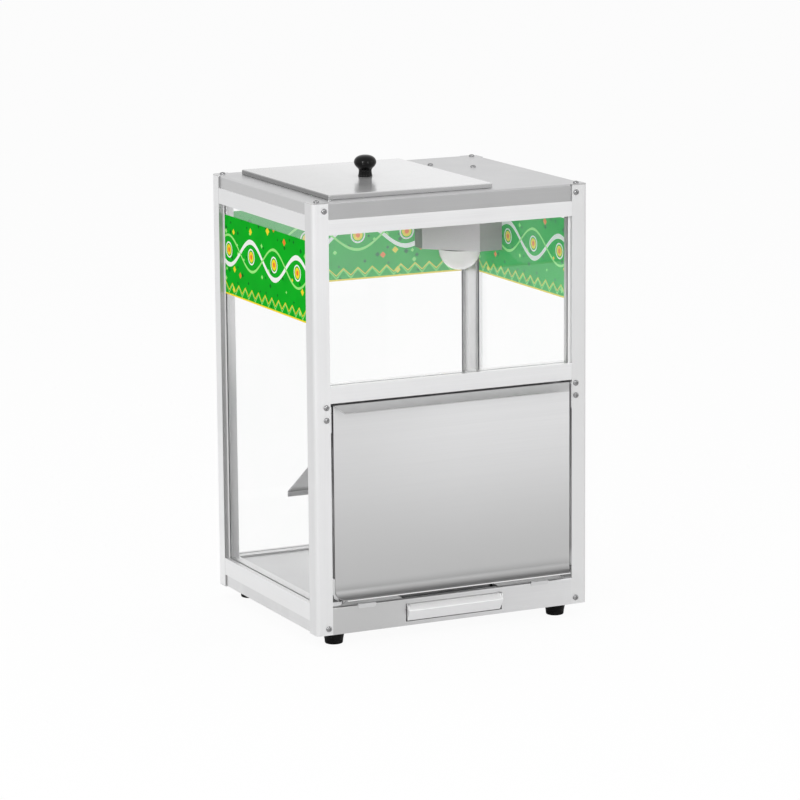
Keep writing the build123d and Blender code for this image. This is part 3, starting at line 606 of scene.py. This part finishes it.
# printed film: confetti ground, two waved bands with discs, a zigzag row and a yellow hem
inks = {"ground": (0.001, 0.50, 0.014), "deep": (0.001, 0.17, 0.012), "light": (0.34, 0.84, 0.22),
        "yellow": (0.95, 0.72, 0.03), "orange": (0.93, 0.22, 0.03), "white": (0.90, 0.93, 0.88)}
printLook = {  # lengths in millimetres, heights from the film's lower edge
    "cloud": 0.03, "cloudDetail": 2.0, "cloudShare": 0.45, "bandLift": 62.0, "bandLength": 150.0,
    "brush": 1.8, "tooth": 11.0, "hem": 2.2, "speck": 0.10, "speckSpread": 0.12,  # specks in shares of a cell
    "confetti": [(0.052, 0.0, 0.62, "deep"), (0.034, 40.0, 0.22, "orange"),
                 (0.036, 90.0, 0.22, "yellow"), (0.05, 150.0, 0.2, "light")],  # cells a mm, shift, share, ink
    "bands": [(20.0, 3.2, "white"), (-20.0, 1.8, "light")],  # swing, half width, ink
    "discs": [(11.0, "white"), (9.0, "ground"), (7.2, "yellow"), (3.4, "orange")],  # radius, ink
    "zigzags": [(3.0, 12.0, 0.9, "light"), (7.0, 10.0, 0.8, "yellow")],  # lift, height, half width, ink
}
filmLook = {"behindShare": 0.30, "lightThrough": 0.62, "hazeScale": 14.0, "spread": 0.08, "roughness": 0.34,
            "shine": 0.01, "offGlass": 0.00002, "columns": 12, "rows": 6}
# the glued sides' tones differ by side: the print's pale back with painted light and shade for each
filmSides = {"left": {"along": "Y", "outward": (-1, 0, 0), "behind": (0.42, 0.62, 0.46)},
             "right": {"along": "Y", "outward": (1, 0, 0), "behind": (0.21, 0.47, 0.38)},
             "rear": {"along": "X", "outward": (0, 1, 0), "behind": (0.49, 0.60, 0.62)}}


def printGroup(look):
    inputs = [("Across", "Float", 0.0), ("Up", "Float", 0.0)]
    group, given, result = newGroup("filmPrint", inputs, [("Color", "Color")])
    u, v = given["Across"], given["Up"]
    place = wire(group, "CombineXYZ", {}, {0: u, 1: v}).outputs[0]
    cloud = noise(group, place, look["cloud"], look["cloudDetail"])
    tone = blend(group, calc(group, "MULTIPLY", cloud, look["cloudShare"]), inks["ground"], inks["deep"])
    for size, shift, share, ink in look["confetti"]:
        moved = vectorCalc(group, "ADD", place, (shift, shift, 0))
        cells = wire(group, "TexVoronoi", {"voronoi_dimensions": "2D", "distance": "MANHATTAN"},
                     {"Vector": moved, "Scale": size}).outputs
        chance = wire(group, "SeparateColor", {}, {0: cells["Color"]}).outputs
        reach = calc(group, "MULTIPLY_ADD", chance[1], look["speckSpread"], look["speck"])
        near = calc(group, "LESS_THAN", cells["Distance"], reach)
        some = calc(group, "LESS_THAN", chance[0], share)
        tone = blend(group, calc(group, "MULTIPLY", near, some), tone, inks[ink])
    for swing, wide, ink in look["bands"]:
        angle = calc(group, "MULTIPLY", u, math.tau / look["bandLength"])
        wave = calc(group, "MULTIPLY_ADD", calc(group, "SINE", angle), swing, look["bandLift"])
        away = calc(group, "ABSOLUTE", calc(group, "SUBTRACT", v, wave))
        brush = calc(group, "MULTIPLY_ADD", cloud, look["brush"], wide - look["brush"] / 2)
        tone = blend(group, calc(group, "LESS_THAN", away, brush), tone, inks[ink])
    # a ringed disc sits in each loop of the bands
    quarter = look["bandLength"] / 4
    across = calc(group, "SUBTRACT", calc(group, "PINGPONG", u, quarter), quarter)
    rise = calc(group, "SUBTRACT", v, look["bandLift"])
    reach = calc(group, "SQRT", calc(group, "ADD", calc(group, "MULTIPLY", across, across),
                                     calc(group, "MULTIPLY", rise, rise)))
    for outer, ink in look["discs"]:
        tone = blend(group, calc(group, "LESS_THAN", reach, outer), tone, inks[ink])
    for lift, tall, thick, ink in look["zigzags"]:
        saw = calc(group, "PINGPONG", u, look["tooth"])
        tooth = calc(group, "MULTIPLY_ADD", saw, tall / look["tooth"], lift)
        away = calc(group, "ABSOLUTE", calc(group, "SUBTRACT", v, tooth))
        tone = blend(group, calc(group, "LESS_THAN", away, thick), tone, inks[ink])
    tone = blend(group, calc(group, "LESS_THAN", v, look["hem"]), tone, inks["yellow"])
    group.links.new(tone, result["Color"])
    return group


def filmMaterial(name, node, along, behind):  # the print seen from outside, paler on its glued side, where each side's tone also holds painted light and shade
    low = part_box(node)[0]
    material, tree, skin, where = newMaterial(name)
    part = wire(tree, "SeparateXYZ", {}, {0: where}).outputs
    across = calc(tree, "MULTIPLY_ADD", part[along], 1000.0, -1000.0 * low["XYZ".index(along)])
    up = calc(tree, "MULTIPLY_ADD", part["Z"], 1000.0, -1000.0 * low.z)
    tone = useGroup(tree, "print", {"Across": across, "Up": up})["Color"]
    glued = tree.nodes.new("ShaderNodeNewGeometry").outputs["Backfacing"]
    tone = blend(tree, calc(tree, "MULTIPLY", glued, filmLook["behindShare"]), tone, behind)
    tree.links.new(tone, skin["Base Color"])
    # painted light: the glued side glows with the daylight that would come through the thin film
    path = tree.nodes.new("ShaderNodeLightPath").outputs
    straight = calc(tree, "LESS_THAN", calc(tree, "ADD", path["Diffuse Depth"], path["Glossy Depth"]), 0.5)
    through = calc(tree, "MULTIPLY", calc(tree, "MULTIPLY", glued, filmLook["lightThrough"]), straight)
    tree.links.new(blend(tree, through, (0, 0, 0), tone), skin["Emission Color"])
    skin["Emission Strength"].default_value = 1.0
    haze = useGroup(tree, "wipe", {"Vector": where, "Scale": filmLook["hazeScale"]})["Mask"]
    rough = calc(tree, "MULTIPLY_ADD", haze, filmLook["spread"], filmLook["roughness"])
    tree.links.new(rough, skin["Roughness"])
    skin["Specular IOR Level"].default_value = filmLook["shine"]
    return material


groups["print"] = printGroup(printLook)
for side, look in filmSides.items():
    name = "film" + side.capitalize()
    finishes[name] = filmMaterial(name, "banner_" + side, look["along"], look["behind"])

finishOfSlot = {"frame_aluminium": "postAluminium", "sheet_steel": "insideSteel", "door_steel": "doorSteel",
                "bracket_steel": "bracketSteel", "screw_steel": "screwSteel", "clear_glass": "clearGlass",
                "dome_glass": "domeGlass", "bulb_glass": "bulbGlass", "pale_seal": "paleSeal",
                "banner_film": "filmLeft", "black_plastic": "blackPlastic", "black_gloss": "blackGloss",
                "black_rubber": "blackRubber", "lamp_white": "whiteEnamel"}
nodesOfFinish = {  # nodes whose finish differs from their slot's
    "railAluminiumX": ["top_rail_front", "top_rail_rear", "bottom_rail_rear"],
    "railAluminiumY": ["top_rail_left", "top_rail_right", "bottom_rail_left", "bottom_rail_right"],
    "midAluminium": ["mid_rail_front"], "rearAluminium": ["post_rear_left", "post_rear_right"],
    "roofSteel": ["roof_panel"], "lidSteel": ["lid_panel"], "baseSteel": ["base_panel_front"],
    "lampBoxSteel": ["lamp_housing"], "traySteel": ["crumb_tray"], "floorSteel": ["floor_panel"],
    "panSteel": ["bottom_pan"], "lugSteel": ["hinge_lug_left", "hinge_lug_right"],
    "filmRight": ["banner_right"], "filmRear": ["banner_rear"]}
finishOfNode = {node: finish for finish, nodes in nodesOfFinish.items() for node in nodes}
slotOfNode = {part["node"]: part["material_slot"] for part in frame["record"]["subparts"]}
bodies = frame["record"]["behaviour"]["bodies"]
bodyOfNode = {node: body for body, members in bodies.items() for node in members}
for node, obj in cad.items():
    obj.data.materials.clear()
    obj.data.materials.append(finishes[finishOfNode.get(node, finishOfSlot[slotOfNode[node]])])
print("finishes made")


def camelName(node):  # foot_front_left becomes footFrontLeft
    first, *rest = node.split("_")
    return first + "".join(word.capitalize() for word in rest)


def belongWith(obj, node):  # obj takes the node's finish, body and slot
    obj.data.materials.clear()
    obj.data.materials.append(cad[node].data.materials[0])
    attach(obj, bodyOfNode[node])


def standFor(obj, node):  # the same, and the node is hidden
    belongWith(obj, node)
    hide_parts(node)


# folded and drawn pieces: copies of the fixed meshes with their edges eased, each by its millimetres
easedNodes = {
    "post_front_left": 0.35, "post_front_right": 0.35, "post_rear_left": 0.35, "post_rear_right": 0.35,
    "top_rail_front": 0.25, "top_rail_rear": 0.25, "top_rail_left": 0.25, "top_rail_right": 0.25,
    "mid_rail_front": 0.3, "bottom_rail_left": 0.25, "bottom_rail_right": 0.25, "bottom_rail_rear": 0.25,
    "roof_panel": 0.2, "bottom_pan": 0.2, "base_panel_front": 0.2, "floor_panel": 0.18, "baffle": 0.2,
    "door_panel": 0.2, "lid_panel": 0.12, "lamp_housing": 0.2, "crumb_tray": 0.2, "hinge_lug_left": 0.2,
    "hinge_lug_right": 0.2, "catch_bracket_left": 0.2, "catch_bracket_right": 0.2,
    "catch_magnet_left": 0.4, "catch_magnet_right": 0.4, "switch_bezel": 0.2, "switch_rocker": 0.35}
flatAngle, bendAngle = 0.5, 32  # degrees: under the first is one flat face, under the second a bend
chuteLook = {"front": 0.015, "rear": 0.045, "half": 0.05, "back": 0.013, "drop": 0.0075, "spread": 1.14,
             "middle": -0.0055}
tongueLook = {"below": 0.0062, "hair": 0.0002, "thin": 0.0005, "corner": 0.0032, "segments": 4}


def crumbChute(obj, look):  # the floor's notch has its rear edge folded down towards the tray
    selectFaces(obj, lambda c, n: n.y < -0.9 and faceY + look["front"] < c.y < faceY + look["rear"]
                and abs(c.x) < look["half"])
    bpy.ops.mesh.extrude_region_move(TRANSFORM_OT_translate={"value": (0, -look["back"], -look["drop"])})
    bpy.ops.transform.resize(value=(look["spread"], 1, 1), center_override=(look["middle"], faceY, floorTop))
    leaveEdit()


def roundTongues(obj, look):  # lower corners of the two tongues hooked over the base panel
    workOn(obj)
    bpy.ops.object.mode_set(mode="EDIT")
    bpy.ops.mesh.select_mode(type="EDGE")
    bpy.ops.mesh.select_all(action="DESELECT")
    leaveEdit()
    for edge in obj.data.edges:
        a, b = (obj.data.vertices[i].co for i in edge.vertices)
        low = max(a.z, b.z) < floorTop - look["below"] and max(a.y, b.y) < faceY + look["hair"]
        edge.select = low and abs(a.x - b.x) < look["hair"] and abs(a.y - b.y) > look["thin"]
    bpy.ops.object.mode_set(mode="EDIT")
    bpy.ops.mesh.bevel(offset=look["corner"], segments=look["segments"], affect="EDGES")
    leaveEdit()


def easedCopy(node, width):
    obj = copyOf(cad[node], camelName(node))
    mergeCorners(obj)
    bpy.ops.mesh.dissolve_limited(angle_limit=math.radians(flatAngle))
    if node == "floor_panel":
        crumbChute(obj, chuteLook)
        roundTongues(obj, tongueLook)
    softenEdges(obj, width)
    evenShading(obj, bendAngle)
    standFor(obj, node)


def pullEnd(side):  # a small block cut to the triangle under the pull's fold
    look = pullLook
    tip = Vector((0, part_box("crumb_tray")[0].y, pullFold))
    rootY = faceY + look["inside"]
    low = footTop + look["slotLow"] + look["low"]
    high = footTop + look["slotHigh"]
    middle = (side * look["wide"] / 2, (tip.y + rootY) / 2, (low + high) / 2)
    bpy.ops.mesh.primitive_cube_add(size=1, location=middle)
    end = bpy.context.object
    end.scale = (look["sheet"], rootY - tip.y, high - low)
    settle(end)
    editAll(end)
    bpy.ops.transform.translate(value=(-side * (look["sheet"] / 2 + look["flare"]), 0, 0))
    for height in (high, low):
        run = tip - Vector((0, rootY, height))
        outward = Vector((0, -run.z, run.y))
        if outward.y > 0:
            outward.negate()
        bpy.ops.mesh.select_all(action="SELECT")
        bpy.ops.mesh.bisect(plane_co=tip, plane_no=outward, use_fill=True, clear_outer=True)
    leaveEdit()
    softenEdges(end, look["edge"])
    return end


for node, width in easedNodes.items():
    easedCopy(node, width / 1000)
pullEnds = joinAll([pullEnd(-1), pullEnd(1)])
pullEnds.name = "pullEnds"
evenShading(pullEnds, bendAngle)
belongWith(pullEnds, "crumb_tray")
print("folded pieces eased")


# films: one thin layer each, a hair out from the middle of the fixed one

def filmSheet(side, outward):
    node = "banner_" + side
    low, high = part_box(node)
    size = high - low
    bpy.ops.mesh.primitive_grid_add(x_subdivisions=filmLook["columns"], y_subdivisions=filmLook["rows"],
                                    size=1, location=(0, 0, 0))
    film = bpy.context.object
    film.name = side + "Film"
    film.scale = (size.y if outward.x else size.x, size.z, 1)
    settle(film)
    upright = Vector((0, 0, 1))
    turn = Matrix((upright.cross(outward), upright, outward)).transposed().to_4x4()
    film.matrix_world = Matrix.Translation((low + high) / 2 + outward * filmLook["offGlass"]) @ turn
    settle(film)
    standFor(film, node)


for side, look in filmSides.items():
    filmSheet(side, Vector(look["outward"]))
print("films laid on")


# turned and moulded pieces; their dictionaries are in millimetres and degrees

# stack of rings, (radius, height), each drawn out of the last; both ends closed
def lathe(name, rings, sides):
    first = rings[0]
    bpy.ops.mesh.primitive_circle_add(vertices=sides, radius=first[0] / 1000, fill_type="NGON",
                                      location=(0, 0, 0))
    obj = bpy.context.object
    obj.name = name
    editAll(obj)
    bpy.ops.transform.translate(value=(0, 0, first[1] / 1000))
    for last, ring in zip(rings, rings[1:]):
        bpy.ops.mesh.extrude_region_move(TRANSFORM_OT_translate={"value": (0, 0, (ring[1] - last[1]) / 1000)})
        grow = ring[0] / last[0]
        bpy.ops.transform.resize(value=(grow, grow, 1), center_override=(0, 0, ring[1] / 1000))
    faceOutward()
    return obj


def columnOf(place, sides):  # number of the side that a face of a turned piece lies on
    return round(math.atan2(place.y, place.x) / math.tau * sides - 0.5)


# lid knob: ball on a fluted neck
knobLook = {"rings": [(9.1, 0), (9.6, 0.15), (9.7, 0.9), (9.3, 1.5), (8.7, 5.5), (8.5, 8.3), (9.1, 10.0),
                      (11.4, 12.0), (13.8, 14.6), (15.1, 17.6), (15.2, 20.4), (14.0, 23.4), (11.4, 26.2),
                      (7.4, 28.0), (3.6, 28.7), (0.6, 28.8)],
            "sides": 60, "fluteStep": 4, "fluteWide": 2, "fluteLow": 1.0, "fluteHigh": 9.7, "fluteEdge": 0.12,
            "fluteIn": 0.86, "fluteMiddle": 5.0, "smooth": 60}


def lidKnob(look):
    knob = lathe("lidKnob", look["rings"], look["sides"])
    selectFaces(knob, lambda c, n: look["fluteLow"] < c.z * 1000 < look["fluteHigh"] and abs(n.z) < 0.9
                and columnOf(c, look["sides"]) % look["fluteStep"] < look["fluteWide"])
    bpy.ops.mesh.inset(thickness=look["fluteEdge"] / 1000, use_individual=False)
    bpy.ops.transform.resize(value=(look["fluteIn"], look["fluteIn"], 1),
                             center_override=(0, 0, look["fluteMiddle"] / 1000))
    leaveEdit()
    roundOff(knob, 1)
    smoothBy(knob, look["smooth"])
    moveTo(knob, under("lid_knob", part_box("lid_knob")[0].z))
    standFor(knob, "lid_knob")


# screws: one pan head with a cross recess, copied to every place, and the way that each row faces
screwLook = {"rings": [(1.7, -1.0), (3.75, 0.0), (3.85, 0.5), (3.8, 1.1), (3.45, 1.75), (2.6, 2.25),
                       (1.4, 2.5), (0.3, 2.55)],
             "sides": 32, "height": 2.5, "slotLength": 4.8, "slotWidth": 1.15, "slotDeep": 1.6, "slotAt": 2.6,
             "slotTurn": 20, "edge": 0.12, "smooth": 40, "spin": 37}
screwWays = {"roof_screws": (0, 0, 1), "pan_screws": (0, 0, -1), "foot_screws": (0, 0, -1),
             "post_screws": (0, -1, 0), "catch_screws": (0, -1, 0), "lamp_screws": (0, 0, 1),
             "knob_screw": (0, 0, -1)}


def screwHead(look):
    head = lathe("screwHead", look["rings"], look["sides"])
    for turn in (0, 90):
        bpy.ops.mesh.primitive_cube_add(size=1, location=(0, 0, look["slotAt"] / 1000))
        cutter = bpy.context.object
        cutter.scale = (look["slotLength"] / 1000, look["slotWidth"] / 1000, look["slotDeep"] * 2 / 1000)
        cutter.rotation_euler = (0, 0, math.radians(turn + look["slotTurn"]))
        settle(cutter)
        recess = head.modifiers.new("recess", "BOOLEAN")
        recess.operation = "DIFFERENCE"
        recess.object = cutter
        keepShape(head)
        bpy.data.objects.remove(cutter)
    softenEdges(head, look["edge"] / 1000, angle=0.7)
    evenShading(head, look["smooth"])
    return head


def screwRow(head, node, way):  # the node's loose parts give the places of the heads
    probe = copyOf(cad[node], "probe")
    mergeCorners(probe)
    bpy.ops.mesh.separate(type="LOOSE")
    leaveEdit()
    row = []
    for part in [obj for obj in scene.objects if obj.name.startswith("probe")]:
        spots = [vertex.co for vertex in part.data.vertices]
        centre = sum(spots, Vector()) / len(spots)
        top = max(spot.dot(way) for spot in spots)
        place = centre + way * (top - screwLook["height"] / 1000 - centre.dot(way))
        copy = copyOf(head, "head")
        moveTo(copy, place, way, math.radians(screwLook["spin"]) * len(row))
        row.append(copy)
        bpy.data.objects.remove(part)
    screws = joinAll(row)
    screws.name = camelName(node)
    standFor(screws, node)


# feet: tapered rubber with a rounded tread and a moulded line
footLook = {"rings": [(5.5, 10.0), (5.5, 0.4), (6.0, 0.0), (10.4, 0.0), (11.5, 0.4), (12.0, 1.3),
                      (12.35, 4.6), (12.15, 4.9), (12.15, 5.3), (12.45, 5.6), (14.3, 15.6), (14.45, 16.6),
                      (14.2, 17.3), (13.6, 17.5), (2.0, 17.5)],
            "sides": 48, "smooth": 40}


def rubberFoot(node, look):
    foot = lathe(camelName(node), look["rings"], look["sides"])
    smoothBy(foot, look["smooth"])
    moveTo(foot, under(node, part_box(node)[0].z))
    standFor(foot, node)


# lamp: thin pressed glass dome, the bulb in it and its seal ring
domeLook = {"radius": 29.0, "wall": 2.0, "top": 8.0, "neck": 3.0, "drop": 31.5, "tip": 0.4, "steps": 14,
            "sides": 64, "smooth": 50}
bulbLook = {"rings": [(8.6, 0.0), (9.0, -0.6), (9.0, -12.0), (8.2, -14.5), (10.4, -18.5), (12.4, -24.0),
                      (12.2, -29.0), (9.4, -34.4), (5.0, -37.2), (0.6, -38.0)],
            "sides": 40, "smooth": 60}
seatLook = {"radius": 29.95, "thick": 0.85, "squash": 0.8, "below": 0.7, "sides": 72, "around": 12,
            "smooth": 60}


def domeRings(look):  # straight neck, then a quarter circle to the tip
    low = look["radius"] - look["drop"]
    rings = [(look["radius"], height) for height in (look["top"], look["neck"], low)]
    for step in range(1, look["steps"]):
        angle = math.pi / 2 * step / look["steps"]
        rings.append((look["radius"] * math.cos(angle), low - look["radius"] * math.sin(angle)))
    return rings + [(look["tip"], -look["drop"])]


def lampDome(look):
    dome = lathe("lampDome", domeRings(look), look["sides"])
    selectFaces(dome, lambda c, n: c.z * 1000 > look["top"] - 0.1)  # the cap: the dome is open above
    bpy.ops.mesh.delete(type="ONLY_FACE")
    leaveEdit()
    wallMaker = dome.modifiers.new("wall", "SOLIDIFY")
    wallMaker.thickness = look["wall"] / 1000
    wallMaker.offset = -1
    keepShape(dome)
    smoothBy(dome, look["smooth"])
    moveTo(dome, under("lamp_dome", lampFoot))
    standFor(dome, "lamp_dome")


def lampBulb(look):
    bulb = lathe("lampBulb", look["rings"], look["sides"])
    roundOff(bulb, 1)
    smoothBy(bulb, look["smooth"])
    moveTo(bulb, under("lamp_bulb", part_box("lamp_bulb")[1].z))
    standFor(bulb, "lamp_bulb")


def lampRing(look):
    bpy.ops.mesh.primitive_torus_add(major_radius=look["radius"] / 1000, minor_radius=look["thick"] / 1000,
                                     major_segments=look["sides"], minor_segments=look["around"])
    seat = bpy.context.object
    seat.name = "lampRing"
    seat.scale = (1, 1, look["squash"])
    settle(seat)
    smoothBy(seat, look["smooth"])
    moveTo(seat, under("lamp_ring", lampFoot - look["below"] / 1000))
    standFor(seat, "lamp_ring")


# cord gland: hexagon foot, ribbed cap, open bore
glandLook = {"rings": [(6.0, -8.0), (6.0, 5.1), (6.9, 5.2), (7.3, 5.8), (7.3, 12.6), (6.6, 14.6), (5.2, 15.9),
                       (3.9, 16.0), (3.45, 15.2), (3.4, 2.0)],
             "sides": 48, "length": 16.0, "ribLow": 6.0, "ribHigh": 12.5, "ribOut": 6.8, "ribEdge": 0.12,
             "ribIn": 0.95, "ribMiddle": 9.0, "nut": 8.5, "nutTall": 5.0, "nutEdge": 0.4, "smooth": 35}


def cordGland(look):
    cap = lathe("cordGland", look["rings"], look["sides"])
    selectFaces(cap, lambda c, n: look["ribLow"] < c.z * 1000 < look["ribHigh"]
                and c.xy.length * 1000 > look["ribOut"] and columnOf(c, look["sides"]) % 2 == 0)
    bpy.ops.mesh.inset(thickness=look["ribEdge"] / 1000, use_individual=True)
    bpy.ops.transform.resize(value=(look["ribIn"], look["ribIn"], 1),
                             center_override=(0, 0, look["ribMiddle"] / 1000))
    leaveEdit()
    bpy.ops.mesh.primitive_circle_add(vertices=6, radius=look["nut"] / 1000, fill_type="NGON",
                                      location=(0, 0, 0))
    nut = bpy.context.object
    editAll(nut)
    bpy.ops.mesh.extrude_region_move(TRANSFORM_OT_translate={"value": (0, 0, look["nutTall"] / 1000)})
    faceOutward()
    softenEdges(nut, look["nutEdge"] / 1000)
    gland = joinAll([cap, nut])
    evenShading(gland, look["smooth"])
    low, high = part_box("cord_gland")
    foot = Vector(((low.x + high.x) / 2, high.y - look["length"] / 1000, (low.z + high.z) / 2))
    moveTo(gland, foot, (0, 1, 0))
    standFor(gland, "cord_gland")


lidKnob(knobLook)
panHead = screwHead(screwLook)
for node, way in screwWays.items():
    screwRow(panHead, node, Vector(way))
bpy.data.objects.remove(panHead)
for corner in ("front_left", "front_right", "rear_left", "rear_right"):
    rubberFoot("foot_" + corner, footLook)
lampDome(domeLook)
lampBulb(bulbLook)
lampRing(seatLook)
cordGland(glandLook)
print("moulded pieces made")
